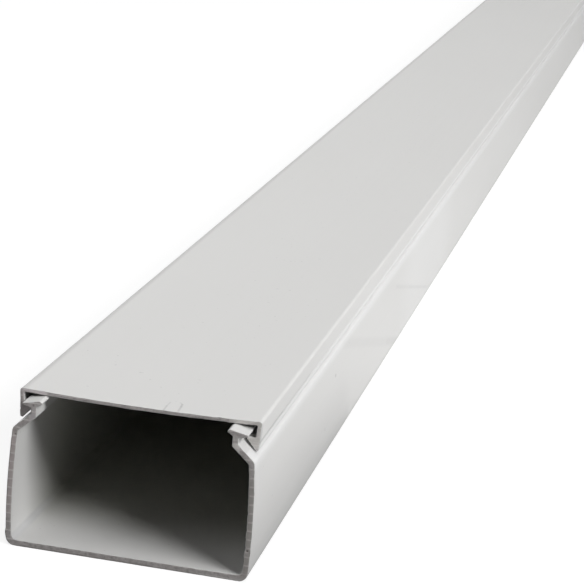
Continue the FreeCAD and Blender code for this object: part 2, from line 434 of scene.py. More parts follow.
@dataclass(frozen=True)
class SawCut:
    """How a saw left one end, in millimetres.

    The blade cut across, so its marks are level lines, one for each stroke. It rounded the edges,
    and left burrs standing and nicks torn all round them.
    """

    seed: int
    blade: Blade = Blade()
    stroke_depth: float = 0.03
    ridge_width: float = 0.13
    ripple: float = 0.02
    ripple_waves: tuple[tuple[float, float], tuple[float, float]] = ((1.3, 9.7), (7.1, -2.9))
    edge_round: float = 0.06
    burr_count: int = 90
    burr_height: float = 0.035
    burr_reach: tuple[float, float] = (0.12, 0.6)
    burr_run: float = 0.35
    nick_depth: float = 0.02
    dents: tuple[Dent, ...] = ()
    pits: tuple[Dent, ...] = ()

    def burrs(self, outline: Array) -> Array:
        """How far the edge stands out all round, before it is rounded.

        Each burr is a bell with its middle at a point of the outline, drawn with the end's seed. A
        nick is a burr that stands inwards, and it is shallow enough for the finest corner.

        Args:
            outline: Points (across, up) of the cut's edge.

        Returns:
            A height outwards for each point.
        """
        draw = np.random.default_rng(self.seed)
        middle = outline[draw.integers(0, len(outline), self.burr_count)]
        reach = draw.uniform(*self.burr_reach, self.burr_count)
        height = draw.normal(0, self.burr_height, self.burr_count)
        distance = np.linalg.norm(outline[:, None] - middle[None], axis=2)
        standing = (height * np.exp(-((distance / reach) ** 2))).sum(axis=1)
        standing = np.maximum(standing, -self.nick_depth)
        return standing + sum(dent.at(outline) for dent in self.dents)

    def spread(self, depth: Array, burrs: Array) -> Array:
        """How far an outline moves outwards at a depth behind the cut.

        The edge is a quarter circle, and the burrs fade with the depth.

        Args:
            depth: Distances from the cut, one for each ring.
            burrs: The height outwards of each point of the edge.

        Returns:
            Rings x points.
        """
        inwards = np.clip(1 - depth / self.edge_round, 0, 1)
        round_off = self.edge_round * (1 - np.sqrt(1 - inwards**2))
        return burrs * np.exp(-depth / self.burr_run) - round_off

    def relief(self, points: Array) -> Array:
        """How deep the cut face lies at each point.

        A sharp ridge stands between strokes. Two crossing waves stand for the tremble of the
        blade, and the pits are torn out.

        Args:
            points: Points (across, up).

        Returns:
            A depth behind the end for each point.
        """
        across, up = points[:, 0], points[:, 1]
        phase = (up - self.blade.slope * across - self.blade.mark) / self.blade.pitch % 1
        from_mark = np.minimum(phase, 1 - phase) * self.blade.pitch
        ridge = np.exp(-((from_mark / self.ridge_width) ** 2))
        first, second = (np.sin(across * wide + up * high) for wide, high in self.ripple_waves)
        torn = -sum((pit.at(points) for pit in self.pits), np.zeros(len(points)))
        return self.stroke_depth * (1 - ridge) + self.ripple * (0.5 + 0.5 * first * second) + torn


class Value:
    """A number that varies over a surface. Python's operators on it add the nodes for them."""

    def __init__(self, graph: "Graph", socket: bpy.types.NodeSocket) -> None:
        """Wrap the output socket of a node in that graph."""
        self.graph = graph
        self.socket = socket

    def __add__(self, other: "Operand") -> "Value":
        """Sum."""
        return self.graph.math("ADD", self, other)

    def __radd__(self, other: "Operand") -> "Value":
        """Sum, with the number first."""
        return self.graph.math("ADD", other, self)

    def __sub__(self, other: "Operand") -> "Value":
        """Difference."""
        return self.graph.math("SUBTRACT", self, other)

    def __rsub__(self, other: "Operand") -> "Value":
        """Difference from a number, as in 1 - mask."""
        return self.graph.math("SUBTRACT", other, self)

    def __mul__(self, other: "Operand") -> "Value":
        """Product."""
        return self.graph.math("MULTIPLY", self, other)

    def __rmul__(self, other: "Operand") -> "Value":
        """Product, with the number first."""
        return self.graph.math("MULTIPLY", other, self)

    def __truediv__(self, other: "Operand") -> "Value":
        """Quotient."""
        return self.graph.math("DIVIDE", self, other)


Operand = Value | float
Axes = tuple[Value, Value, Value]


class Graph:
    """The node tree of one material or world."""

    def __init__(self, tree: bpy.types.NodeTree) -> None:
        """Start from an empty tree."""
        self.tree = tree
        tree.nodes.clear()

    def add(
        self,
        kind: str,
        settings: Mapping[str, Any] | None = None,
        sockets: Mapping[str | int, Any] | None = None,
    ) -> bpy.types.Node:
        """Add any node.

        Args:
            kind: The node's type.
            settings: Properties that are set first, such as a Math node's operation.
            sockets: Values or links of its inputs, by name or number.

        Returns:
            The node.
        """
        node = self.tree.nodes.new(kind)
        for name, setting in (settings or {}).items():
            setattr(node, name, setting)
        for key, given in (sockets or {}).items():
            if isinstance(given, Value):
                self.tree.links.new(given.socket, node.inputs[key])
            else:
                node.inputs[key].default_value = given
        return node

    def value(self, node: bpy.types.Node, output: str | int = 0) -> Value:
        """An output of a node as a value."""
        return Value(self, node.outputs[output])

    def math(self, operation: str, *operands: Operand) -> Value:
        """A Math node's result."""
        return self.value(self.add("ShaderNodeMath", {"operation": operation}, dict(enumerate(operands))))

    def axes(self) -> Axes:
        """Object coordinates.

        Returns:
            Across, along and up, in millimetres.
        """
        place = self.value(self.add("ShaderNodeTexCoord"), "Object")
        split = self.add("ShaderNodeSeparateXYZ", sockets={0: place})
        across, along, up = (self.value(split, number) * (1 / MM) for number in range(3))
        return across, along, up

    def attribute(self, name: str) -> Value:
        """A number that the points of the mesh carry."""
        return self.value(self.add("ShaderNodeAttribute", {"attribute_name": name}), "Fac")

    def vector(self, *components: Operand) -> Value:
        """A vector from three values."""
        return self.value(self.add("ShaderNodeCombineXYZ", sockets=dict(enumerate(components))))

    def ease(self, source: Operand, low: float, high: float) -> Value:
        """0 below low and 1 above high, with a smooth step between; low may be the larger."""
        sockets = {"Value": source, "From Min": low, "From Max": high}
        return self.value(self.add("ShaderNodeMapRange", {"interpolation_type": "SMOOTHSTEP"}, sockets))

    def mix(self, share: Operand, first: Any, second: Any) -> Value:
        """A colour between two, by the share of the second; the node has them at 6, 7 and 2."""
        node = self.add("ShaderNodeMix", {"data_type": "RGBA"}, {0: share, 6: first, 7: second})
        return self.value(node, 2)

    def bump(self, height: Value, distance: float, before: Value | None = None) -> Value:
        """A normal tilted by a relief.

        Args:
            height: The relief, from 0 to 1.
            distance: What 1 stands for, in metres.
            before: A normal that is already tilted, if there is one.

        Returns:
            The normal.
        """
        sockets: dict[str | int, Any] = {"Height": height, "Distance": distance, "Strength": 1.0}
        if before is not None:
            sockets["Normal"] = before
        return self.value(self.add("ShaderNodeBump", sockets=sockets))

    def seen(self) -> Value:
        """Tell what the camera sees, straight or by reflection or through glass, from light.

        Returns:
            1 for a ray that the camera sees by, and 0 for one that only brings light.
        """
        path = self.add("ShaderNodeLightPath")
        direct, mirrored_ray = self.value(path, "Is Camera Ray"), self.value(path, "Is Glossy Ray")
        through = self.value(path, "Is Transmission Ray")
        return self.math("MAXIMUM", self.math("MAXIMUM", direct, mirrored_ray), through)

    def output(self, kind: str, shader: Value) -> None:
        """Lead a shader to the tree's output."""
        self.add(kind, sockets={"Surface": shader})


def new_material(name: str) -> tuple[bpy.types.Material, Graph]:
    """Make an empty material.

    Args:
        name: What it is called.

    Returns:
        The material, and the graph that fills it.
    """
    made = bpy.data.materials.new(name)
    made.use_nodes = True
    return made, Graph(made.node_tree)


def new_object(name: str, data: bpy.types.ID) -> bpy.types.Object:
    """Put a new object in the scene.

    Args:
        name: What it is called.
        data: Its mesh, lamp or camera.

    Returns:
        The object, at the origin.
    """
    made = bpy.data.objects.new(name, data)
    bpy.context.scene.collection.objects.link(made)
    return made


@dataclass(frozen=True)
class Pattern:
    """Smooth noise: features to the millimetre on each axis, levels of finer detail, their share."""

    scale: tuple[float, float, float]
    detail: float = 3.0
    rough: float = 0.6

    def value(self, graph: Graph, axes: Axes) -> Value:
        """How high the noise is at each place.

        Args:
            graph: The material that the noise is in.
            axes: Across, along and up, in millimetres.

        Returns:
            A value from 0 to 1.
        """
        place = graph.vector(*(axis * scale for axis, scale in zip(axes, self.scale)))
        sockets = {"Vector": place, "Scale": 1.0, "Detail": self.detail, "Roughness": self.rough}
        return graph.value(graph.add("ShaderNodeTexNoise", sockets=sockets))


def grey(level: float, warmth: float = 0.0) -> Colour:
    """A grey, a little redder and less blue by its warmth."""
    return (level * (1 + warmth), level, level * (1 - warmth), 1.0)


class Face(Enum):
    """Where a mark is: the two axes of its plane, the third axis, and where it fades in there.

    A mark at the mouth is drawn in the section, and runs back from the near end. One on the skin
    of the right side stays off the inner face of that wall.
    """

    TOP = (0, 1, 2, 24.0, 24.2)
    RIGHT = (1, 2, 0, 18.0, 18.2)
    RIGHT_SKIN = (1, 2, 0, 19.1, 19.25)
    MOUTH = (0, 2, 1, -476.0, -492.0)


@dataclass(frozen=True)
class Stroke:
    """A mark along a line on a face: two of its points in that face's plane, in millimetres.

    It has its full depth within its core, a share of its width, and none beyond its width.
    """

    start: tuple[float, float]
    end: tuple[float, float]
    width: float
    depth: float
    face: Face = Face.TOP
    colour: Colour = grey(0.30)
    core: float = 0.25

    def mask(self, graph: Graph, axes: Axes) -> Value:
        """How much of the mark's colour shows.

        The nearest point of the line is start + t (end - start), with t the projection held
        between 0 and 1, and the mask falls off with the distance to it.

        Args:
            graph: The material that the mark is in.
            axes: Across, along and up, in millimetres.

        Returns:
            The depth on the line, and 0 away from it.
        """
        first, second, third, absent, present = self.face.value
        run = (self.end[0] - self.start[0], self.end[1] - self.start[1])
        square = run[0] ** 2 + run[1] ** 2
        from_start = (axes[first] - self.start[0], axes[second] - self.start[1])
        share = (from_start[0] * run[0] + from_start[1] * run[1]) / square
        share = graph.math("MINIMUM", graph.math("MAXIMUM", share, 0.0), 1.0)
        away = (from_start[0] - share * run[0], from_start[1] - share * run[1])
        distance = graph.math("SQRT", away[0] * away[0] + away[1] * away[1])
        on_face = graph.ease(axes[third], absent, present)
        return graph.ease(distance, self.width, self.width * self.core) * on_face * self.depth


@dataclass(frozen=True)
class PvcSkin:
    """Extruded rigid PVC: pale satin grey, with die lines along the run, and light wear.

    Die lines and clouds change its tone and gloss a little. Its inner faces deep in the cavity
    have painted shade, a darker and greener grey, and a painted highlight runs along its edges
    at the cut ends. Its strokes are pencil, rubs and specks, and painted highlights and painted
    shade. Heights are in metres.
    """

    name: str
    colour: Colour = (0.704, 0.70, 0.688, 1.0)
    dull_colour: Colour = grey(0.45)
    dull_gain: float = 4.0
    dull_share: float = 0.16
    # Painted shade: inner faces deeper than the mouth get a darker, greener grey
    cavity_shade_colour: Colour = (0.625, 0.625, 0.58, 1.0)
    cavity_shade_from: float = 495.0
    cavity_shade_to: float = 474.0
    # Painted highlight: a paler grey along the skin's edges at the cut ends
    rim_highlight_colour: Colour = grey(0.80, 0.01)
    rim_highlight_from: float = 0.55
    rim_highlight_share: float = 0.3
    speck_colour: Colour = grey(0.30)
    speck_levels: tuple[float, float] = (0.16, 0.11)
    speck_share: float = 0.35
    specks: Pattern = Pattern((1.7, 1.7, 1.7), 0.0, 0.5)
    die_lines: Pattern = Pattern((2.2, 0.012, 2.2))
    line_tone: float = 0.05
    line_gloss: float = 0.18
    line_height: float = 0.00001
    cloud: Pattern = Pattern((0.05, 0.015, 0.05), 3.0, 0.55)
    cloud_tone: float = 0.03
    cloud_gloss: float = 0.12
    cloud_height: float = 0.0002
    grain: Pattern = Pattern((9.0, 9.0, 9.0), 2.0)
    grain_height: float = 0.000004
    roughness: float = 0.5
    specular: float = 0.22
    refraction: float = 1.53
    strokes: tuple[Stroke, ...] = ()

    def material(self) -> bpy.types.Material:
        """Make the material.

        Returns:
            The finish. It reads what the mesh says of its rim and its inner faces.
        """
        made, graph = new_material(self.name)
        axes = graph.axes()
        lines, cloud = self.die_lines.value(graph, axes), self.cloud.value(graph, axes)
        tone = (lines - 0.5) * self.line_tone + (cloud - 0.5) * self.cloud_tone
        dull = graph.math("MAXIMUM", 0.5 - tone * self.dull_gain, 0.0) * self.dull_share
        # Painted shade: a darker, greener grey on the inner faces deep in the cavity
        cavity_shade_by = graph.ease(graph.math("ABSOLUTE", axes[1]), self.cavity_shade_from, self.cavity_shade_to)
        body = graph.mix(graph.attribute("inner") * cavity_shade_by, self.colour, self.cavity_shade_colour)
        body = graph.mix(dull, body, self.dull_colour)
        specks = graph.ease(self.specks.value(graph, axes), *self.speck_levels)
        body = graph.mix(specks * self.speck_share, body, self.speck_colour)
        for stroke in self.strokes:
            body = graph.mix(stroke.mask(graph, axes), body, stroke.colour)
        # Painted highlight along the skin's edges at the cut ends
        edge_highlight = graph.ease(graph.attribute("rim"), self.rim_highlight_from, 1.0)
        body = graph.mix(edge_highlight * self.rim_highlight_share, body, self.rim_highlight_colour)
        rough = self.roughness + (lines - 0.5) * self.line_gloss + (cloud - 0.5) * self.cloud_gloss
        normal = graph.bump(lines, self.line_height)
        normal = graph.bump(self.grain.value(graph, axes), self.grain_height, normal)
        normal = graph.bump(cloud, self.cloud_height, normal)
        shader = graph.add("ShaderNodeBsdfPrincipled", sockets={
            "Base Color": body, "Roughness": rough, "IOR": self.refraction, "Normal": normal,
            "Specular IOR Level": self.specular,
        })
        graph.output("ShaderNodeOutputMaterial", graph.value(shader))
        return made


@dataclass(frozen=True)
class Patch:
    """An oblong of a near cut in another tone, in millimetres: a tone that the saw left, painted light,
    or painted shade.
    """

    middle: tuple[float, float]
    reach: tuple[float, float]
    colour: Colour
    share: float
    edge: float = 0.15
    near_half: tuple[float, float] = (0.0, -1.0)

    def mask(self, graph: Graph, axes: Axes) -> Value:
        """How much of the patch's colour shows.

        Args:
            graph: The material that the patch is in.
            axes: Across, along and up, in millimetres.

        Returns:
            Its share inside the oblong, and 0 outside, with a soft edge.
        """
        mask = graph.ease(axes[1], *self.near_half) * self.share
        for axis, middle, reach in zip((axes[0], axes[2]), self.middle, self.reach):
            distance = graph.math("ABSOLUTE", axis - middle)
            mask = mask * graph.ease(distance, reach + self.edge, reach - self.edge)
        return mask


@dataclass(frozen=True)
class SawnFace:
    """PVC where a saw went through it: darker and rougher, with a light line left by each stroke.

    The saw drew streaks along its way. A painted highlight runs along the rim towards the cavity,
    and some of its patches are painted light and some painted shade. Its lines are stronger on the
    left. Heights are in metres, and other lengths in millimetres.
    """

    name: str
    patches: tuple[Patch, ...] = ()
    colour: Colour = (0.48, 0.45, 0.44, 1.0)
    light: Colour = (0.80, 0.76, 0.75, 1.0)
    dark: Colour = (0.16, 0.145, 0.14, 1.0)
    mottle: Pattern = Pattern((1.5, 1.5, 1.5))
    mottle_light: tuple[float, float] = (0.42, 0.68)
    mottle_dark: tuple[float, float] = (0.5, 0.3)
    mottle_share: float = 0.3
    mottle_height: float = 0.00004
    streaks: Pattern = Pattern((0.3, 1.0, 5.0))
    streak_light: tuple[float, float] = (0.5, 0.66)
    streak_dark: tuple[float, float] = (0.48, 0.3)
    streak_share: float = 0.15
    streak_height: float = 0.00003
    blade: Blade = Blade()
    line_width: float = 0.2
    line_core: float = 0.3
    line_shares: tuple[float, float] = (0.8, 0.45)
    line_fade: tuple[float, float] = (-10.0, 10.0)
    tremble: Pattern = Pattern((2.5, 2.5, 2.5), 1.0, 0.5)
    tremble_reach: float = 0.25
    breaks: Pattern = Pattern((0.7, 0.7, 0.7), 1.0, 0.5)
    break_levels: tuple[float, float] = (0.25, 0.5)
    # Painted highlight along the rim towards the cavity
    inner_highlight_levels: tuple[float, float] = (0.25, 0.9)
    inner_highlight_share: float = 0.45
    roughness: float = 0.6
    refraction: float = 1.53

    def stroke_lines(self, graph: Graph, axes: Axes) -> Value:
        """The light lines between strokes of the saw.

        Args:
            graph: The material that the lines are in.
            axes: Across, along and up, in millimetres.

        Returns:
            How much of the light colour shows.
        """
        across, _, up = axes
        tremble = (self.tremble.value(graph, axes) - 0.5) * self.tremble_reach
        level = up - across * self.blade.slope - self.blade.mark + tremble
        beside = graph.math("PINGPONG", level, self.blade.pitch / 2)
        lines = graph.ease(beside, self.line_width, self.line_width * self.line_core)
        unbroken = graph.ease(self.breaks.value(graph, axes), *self.break_levels)
        left, right = self.line_shares
        strength = graph.ease(across, *self.line_fade) * (right - left) + left
        return lines * unbroken * strength

    def material(self) -> bpy.types.Material:
        """Make the material.

        Returns:
            The finish. It reads what the mesh says of its edge towards the cavity.
        """
        made, graph = new_material(self.name)
        axes = graph.axes()
        mottle, streaks = self.mottle.value(graph, axes), self.streaks.value(graph, axes)
        body: Value | Colour = self.colour
        for noise, share, to_light, to_dark in (
            (mottle, self.mottle_share, self.mottle_light, self.mottle_dark),
            (streaks, self.streak_share, self.streak_light, self.streak_dark),
        ):
            body = graph.mix(graph.ease(noise, *to_light) * share, body, self.light)
            body = graph.mix(graph.ease(noise, *to_dark) * share, body, self.dark)
        # Tones that the saw left, with painted light and painted shade among them
        for patch in self.patches:
            body = graph.mix(patch.mask(graph, axes), body, patch.colour)
        body = graph.mix(self.stroke_lines(graph, axes), body, self.light)
        # Painted highlight along the rim towards the cavity
        edge_highlight = graph.ease(graph.attribute("inner"), *self.inner_highlight_levels)
        body = graph.mix(edge_highlight * self.inner_highlight_share, body, self.light)
        normal = graph.bump(streaks, self.streak_height)
        normal = graph.bump(mottle, self.mottle_height, normal)
        shader = graph.add("ShaderNodeBsdfPrincipled", sockets={
            "Base Color": body, "Roughness": self.roughness, "IOR": self.refraction, "Normal": normal,
        })
        graph.output("ShaderNodeOutputMaterial", graph.value(shader))
        return made


@dataclass(frozen=True)
class Surface:
    """A closed mesh in the making.

    The points are in millimetres. The faces come as the skin's quads and then each cut end's
    triangles. Rim and inner are numbers that each point carries.
    """

    points: Array
    faces: tuple[Array, ...]
    rim: Array
    inner: Array


@dataclass(frozen=True)
class Extrusion:
    """A length of one section with a sawn face at each end, as one closed mesh.

    Lengths are in millimetres, and the angle at which a shaded edge turns sharp is in degrees.
    Points inside a cut face stay clear of its edge by a share of their spacing.
    """

    name: str
    node: str
    body: str
    slot: str
    outline: Array
    near_cut: SawCut
    far_cut: SawCut
    spacing: float = 0.2
    face_spacing: float = 0.22
    edge_clearance: float = 0.4
    first_step: float = 0.03
    step_growth: float = 1.45
    rim_reach: float = 0.12
    sharp_angle: float = 42.0
    cavity: tuple[float, float] = (0.0, 12.0)

    def faces_cavity(self, outline: Array) -> Array:
        """Which points of the outline face the middle of the cavity."""
        return (outward(outline) * (np.array(self.cavity) - outline)).sum(axis=1) > 0

    def depths(self, length: float) -> Array:
        """Distances of the rings from the near end, in millimetres.

        They grow by a fixed share from either end, so that the edges are fine and the run is
        coarse.

        Args:
            length: How long the run is, in millimetres.

        Returns:
            The distances, from 0 to the length.
        """
        count = int(math.log(length / 2 / self.first_step) / math.log(self.step_growth))
        grown = self.first_step * self.step_growth ** np.arange(count)
        return np.concatenate([[0], grown, length - grown[::-1], [length]])

    def rings(self, outline: Array, near: float, far: float) -> tuple[Array, Array]:
        """The skin's points: the outline carried along the run, spread and set back by each cut.

        Args:
            outline: Points (across, up) in millimetres.
            near: Where the near end lies along, in millimetres.
            far: Where the far end lies along, in millimetres.

        Returns:
            Points as rings x outline x 3, and each one's closeness to a cut edge.
        """
        depth = self.depths(far - near)[:, None]
        left = (far - near) - depth
        spread = self.near_cut.spread(depth, self.near_cut.burrs(outline))
        spread = spread + self.far_cut.spread(left, self.far_cut.burrs(outline))
        place = outline[None] + outward(outline)[None] * spread[..., None]
        near_relief = self.near_cut.relief(outline) * np.exp(-depth / self.near_cut.burr_run)
        far_relief = self.far_cut.relief(outline) * np.exp(-left / self.far_cut.burr_run)
        along = near + depth + near_relief - far_relief
        points = np.stack([place[..., 0], along, place[..., 1]], axis=2)
        rim = np.broadcast_to(np.exp(-np.minimum(depth, left) / self.rim_reach), along.shape)
        return points, rim

    def face(self, edge: Array) -> tuple[Array, Array, Array]:
        """Points inside a cut end, and its triangles.

        Args:
            edge: Points (across, up) of the cut's edge, in millimetres.

        Returns:
            Points within the edge, their closeness to the part of it that faces the cavity, and
            triangles that number the edge's points first. They run anticlockwise.
        """
        low, high = edge.min(axis=0), edge.max(axis=0)
        grid = np.stack(np.meshgrid(
            np.arange(low[0], high[0], self.face_spacing),
            np.arange(low[1], high[1], self.face_spacing),
        ), axis=-1).reshape(-1, 2)
        grid = grid[inside(grid, edge)]
        apart = np.linalg.norm(grid[:, None] - edge[None], axis=2)
        clear = apart.min(axis=1) > self.edge_clearance * self.face_spacing
        grid, distance = grid[clear], apart[clear][:, self.faces_cavity(edge)].min(axis=1)
        loop = np.arange(len(edge))
        around = np.stack([loop, np.roll(loop, -1)], axis=1)
        points = np.concatenate([edge, grid])
        _, _, found, sources, *_ = delaunay_2d_cdt(
            points.tolist(), around.tolist(), [], INSIDE_ONLY, MERGED_WITHIN
        )
        triangles = np.array([numbers[0] for numbers in sources])[np.array(found)]
        a, b, c = (points[triangles[:, number]] for number in range(3))
        area = np.cross(b - a, c - a)
        triangles = np.where(area[:, None] < 0, triangles[:, ::-1], triangles)
        return grid, np.exp(-distance / self.rim_reach), triangles

    def surface(self) -> Surface:
        """Work out the skin and both cut ends, held within the box of the solid piece.

        Returns:
            The closed surface, with its faces turned outwards.
        """
        low, high = (np.array(corner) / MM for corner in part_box(self.node))
        outline = divided(self.outline, self.spacing)
        skin, rim = self.rings(outline, low[1], high[1])
        rings, around = skin.shape[:2]
        number = np.arange(rings * around).reshape(rings, around)
        ahead = np.roll(number, -1, axis=1)
        sides = np.stack([number[:-1], number[1:], ahead[1:], ahead[:-1]], axis=2).reshape(-1, 4)

        points = [skin.reshape(-1, 3)]
        inner = [np.tile(self.faces_cavity(outline).astype(float), rings)]
        faces = [sides]
        count = rings * around
        for ring, cut, turned in ((0, self.near_cut, False), (rings - 1, self.far_cut, True)):
            within, near_cavity, triangles = self.face(skin[ring][:, [0, 2]])
            set_back = cut.relief(within)
            along = high[1] - set_back if turned else low[1] + set_back
            points.append(np.stack([within[:, 0], along, within[:, 1]], axis=1))
            inner.append(near_cavity)
            own = np.where(triangles < around, number[ring][0] + triangles, count + triangles - around)
            faces.append(own[:, ::-1] if turned else own)
            count += len(within)
        return Surface(
            points=np.clip(np.concatenate(points), low, high),
            faces=tuple(faces),
            rim=np.concatenate([rim.ravel(), np.ones(count - rings * around)]),
            inner=np.concatenate(inner),
        )

    def build(self, skin: bpy.types.Material, sawn: bpy.types.Material) -> None:
        """Make the piece at the origin, put it in place of its node and let it ride on its body.

        Args:
            skin: The finish of the run.
            sawn: The finish of the cut ends.
        """
        surface = self.surface()
        mesh = bpy.data.meshes.new(self.name)
        polygons = [polygon for part in surface.faces for polygon in part.tolist()]
        mesh.from_pydata((surface.points * MM).tolist(), [], polygons)
        mesh.materials.append(skin)
        mesh.materials.append(sawn)
        finish = np.repeat([0, 1, 1], [len(part) for part in surface.faces])
        mesh.polygons.foreach_set("material_index", finish.astype(np.int32))
        for name, values in (("rim", surface.rim), ("inner", surface.inner)):
            mesh.attributes.new(name, "FLOAT", "POINT")
            mesh.attributes[name].data.foreach_set("value", values.astype(np.float32))
        mesh.shade_smooth()
        mesh.set_sharp_from_angle(angle=math.radians(self.sharp_angle))
        mesh.validate()

        piece = new_object(self.name, mesh)
        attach(piece, self.body)
        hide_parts(self.node)
        LOG.info("%s: %d points, %d faces", self.name, len(mesh.vertices), len(mesh.polygons))


@dataclass(frozen=True)
class Trunking:
    """The channel and its cover, with the marks that this length has.

    Dents, pits and patches are on the near cut. Most patches give a wall, lip or leg the tone
    that the saw left there. The small dark ones in the pits, the dark line along the channel's bottom
    edge and the one under the cover's plate over the left lip are painted shade, and the pale one on
    the cover's left barb is painted light. The marks on the skin are partly real and partly painted
    light and shade.
    """

    channel: ChannelSection = field(default_factory=ChannelSection)
    cover: CoverSection = field(default_factory=CoverSection)
    arc_steps: int = 8
    # The left foot's burr, nicks in the left lip, and nicks down the inner face of the right wall
    channel_dents: tuple[Dent, ...] = (
        Dent(-19.85, 2.07, 0.45, 0.13),
        Dent(-16.28, 24.1, 0.18, -0.06),
        Dent(-14.98, 24.6, 0.3, -0.07),
        Dent(19.2, 5.4, 0.2, -0.05),
        Dent(18.3, 0.2, 0.5, 0.05),
        Dent(18.9, 12.85, 0.18, -0.09),
        Dent(18.95, 11.4, 0.2, -0.14),
        Dent(18.98, 10.0, 0.18, -0.11),
        Dent(19.0, 8.6, 0.22, -0.14),
        Dent(18.99, 7.1, 0.18, -0.12),
        Dent(18.98, 5.65, 0.22, -0.14),
        Dent(17.2, 19.1, 0.22, -0.12),
        Dent(16.5, 19.9, 0.2, -0.10),
    )
    channel_pits: tuple[Dent, ...] = (
        Dent(19.42, 5.17, 0.16, -0.16),
        Dent(-19.0, 18.63, 0.3, -0.06),
        Dent(-19.12, 17.28, 0.25, -0.05),
        Dent(-16.28, 24.17, 0.14, -0.08),
    )
    cover_dents: tuple[Dent, ...] = (
        Dent(19.4, 22.5, 0.16, 0.05),
        Dent(6.56, 25.0, 0.2, -0.05),
        Dent(9.87, 24.5, 0.25, -0.04),
    )
    channel_tones_and_painted_shade: tuple[Patch, ...] = (
        Patch((-19.2, 12.0), (0.9, 7.0), (0.68, 0.60, 0.59, 1.0), 0.65, 1.0),
        Patch((19.2, 9.0), (0.9, 8.0), (0.38, 0.36, 0.34, 1.0), 0.8, 1.0),
        Patch((-16.2, 21.6), (0.7, 0.9), (0.72, 0.68, 0.70, 1.0), 0.6),
        Patch((16.2, 21.5), (0.8, 1.0), (0.84, 0.81, 0.79, 1.0), 1.0),
        Patch((-16.4, 23.0), (1.7, 0.6), (0.66, 0.62, 0.62, 1.0), 0.7),
        Patch((16.4, 23.0), (1.7, 0.6), (0.60, 0.58, 0.56, 1.0), 0.6),
        Patch((15.5, 0.15), (3.4, 0.12), (0.80, 0.77, 0.76, 1.0), 0.7),
        # Painted shade along the bottom edge of the cut
        Patch((-7.0, 0.15), (11.0, 0.12), (0.30, 0.27, 0.265, 1.0), 0.5),
        Patch((19.42, 5.17), (0.3, 0.3), (0.70, 0.66, 0.64, 1.0), 0.5),
        # Painted shade: the dark spots in the pits
        Patch((19.42, 5.17), (0.12, 0.12), (0.03, 0.027, 0.025, 1.0), 0.95, 0.08),
        Patch((-19.0, 18.63), (0.16, 0.14), (0.15, 0.13, 0.13, 1.0), 0.7, 0.1),
        Patch((-16.28, 23.75), (0.14, 0.2), (0.15, 0.13, 0.13, 1.0), 0.6, 0.1),
    )
    cover_tones_and_painted_light: tuple[Patch, ...] = (
        Patch((-17.3, 24.9), (2.2, 0.5), (0.74, 0.69, 0.70, 1.0), 0.75, 0.3),
        Patch((17.2, 23.5), (2.87, 2.6), (0.68, 0.66, 0.63, 1.0), 0.8, 0.06),
        Patch((-19.1, 23.1), (0.5, 1.5), (0.60, 0.55, 0.54, 1.0), 0.6),
        # Painted light on the left barb, which lies in shade
        Patch((-18.3, 21.7), (1.2, 1.0), (0.82, 0.76, 0.76, 1.0), 0.9),
        # Painted shade along the plate's underside edge over the left lip
        Patch((-15.0, 24.42), (2.2, 0.1), (0.22, 0.20, 0.20, 1.0), 0.5, 0.08),
    )
    # Pencil strokes; a painted highlight along the right leg's foot; painted shade in its groove by
    # the cut and on the leg above it; and painted shade along the left top edge
    cover_pencil_and_painted_light: tuple[Stroke, ...] = (
        Stroke((3.8, -496.9), (3.7, -494.6), 0.24, 0.34),
        Stroke((3.7, -494.6), (3.75, -492.6), 0.22, 0.22),
        Stroke((6.05, -496.5), (5.92, -494.2), 0.28, 0.34),
        Stroke((5.92, -494.2), (5.75, -492.9), 0.28, 0.40),
        Stroke((5.75, -492.9), (5.3, -492.2), 0.22, 0.24),
        # Painted highlight along the lower part of the right leg
        Stroke((-497.0, 21.3), (503.0, 21.3), 0.6, 0.75, Face.RIGHT, grey(0.80)),
        # Painted shade in the groove of the right leg by the cut
        Stroke((-497.0, 22.0), (-480.0, 22.0), 0.36, 0.34, Face.RIGHT),
        Stroke((-497.0, 22.0), (-458.0, 22.0), 0.36, 0.22, Face.RIGHT),
        # Painted shade on the right leg above the groove, by the cut
        Stroke((-497.0, 22.3), (-497.0, 23.7), 1.9, 0.38, Face.RIGHT),
        # Painted shade along the left top edge
        Stroke((-19.6, -497.0), (-19.6, 503.0), 1.5, 0.42, Face.TOP, grey(0.35)),
    )
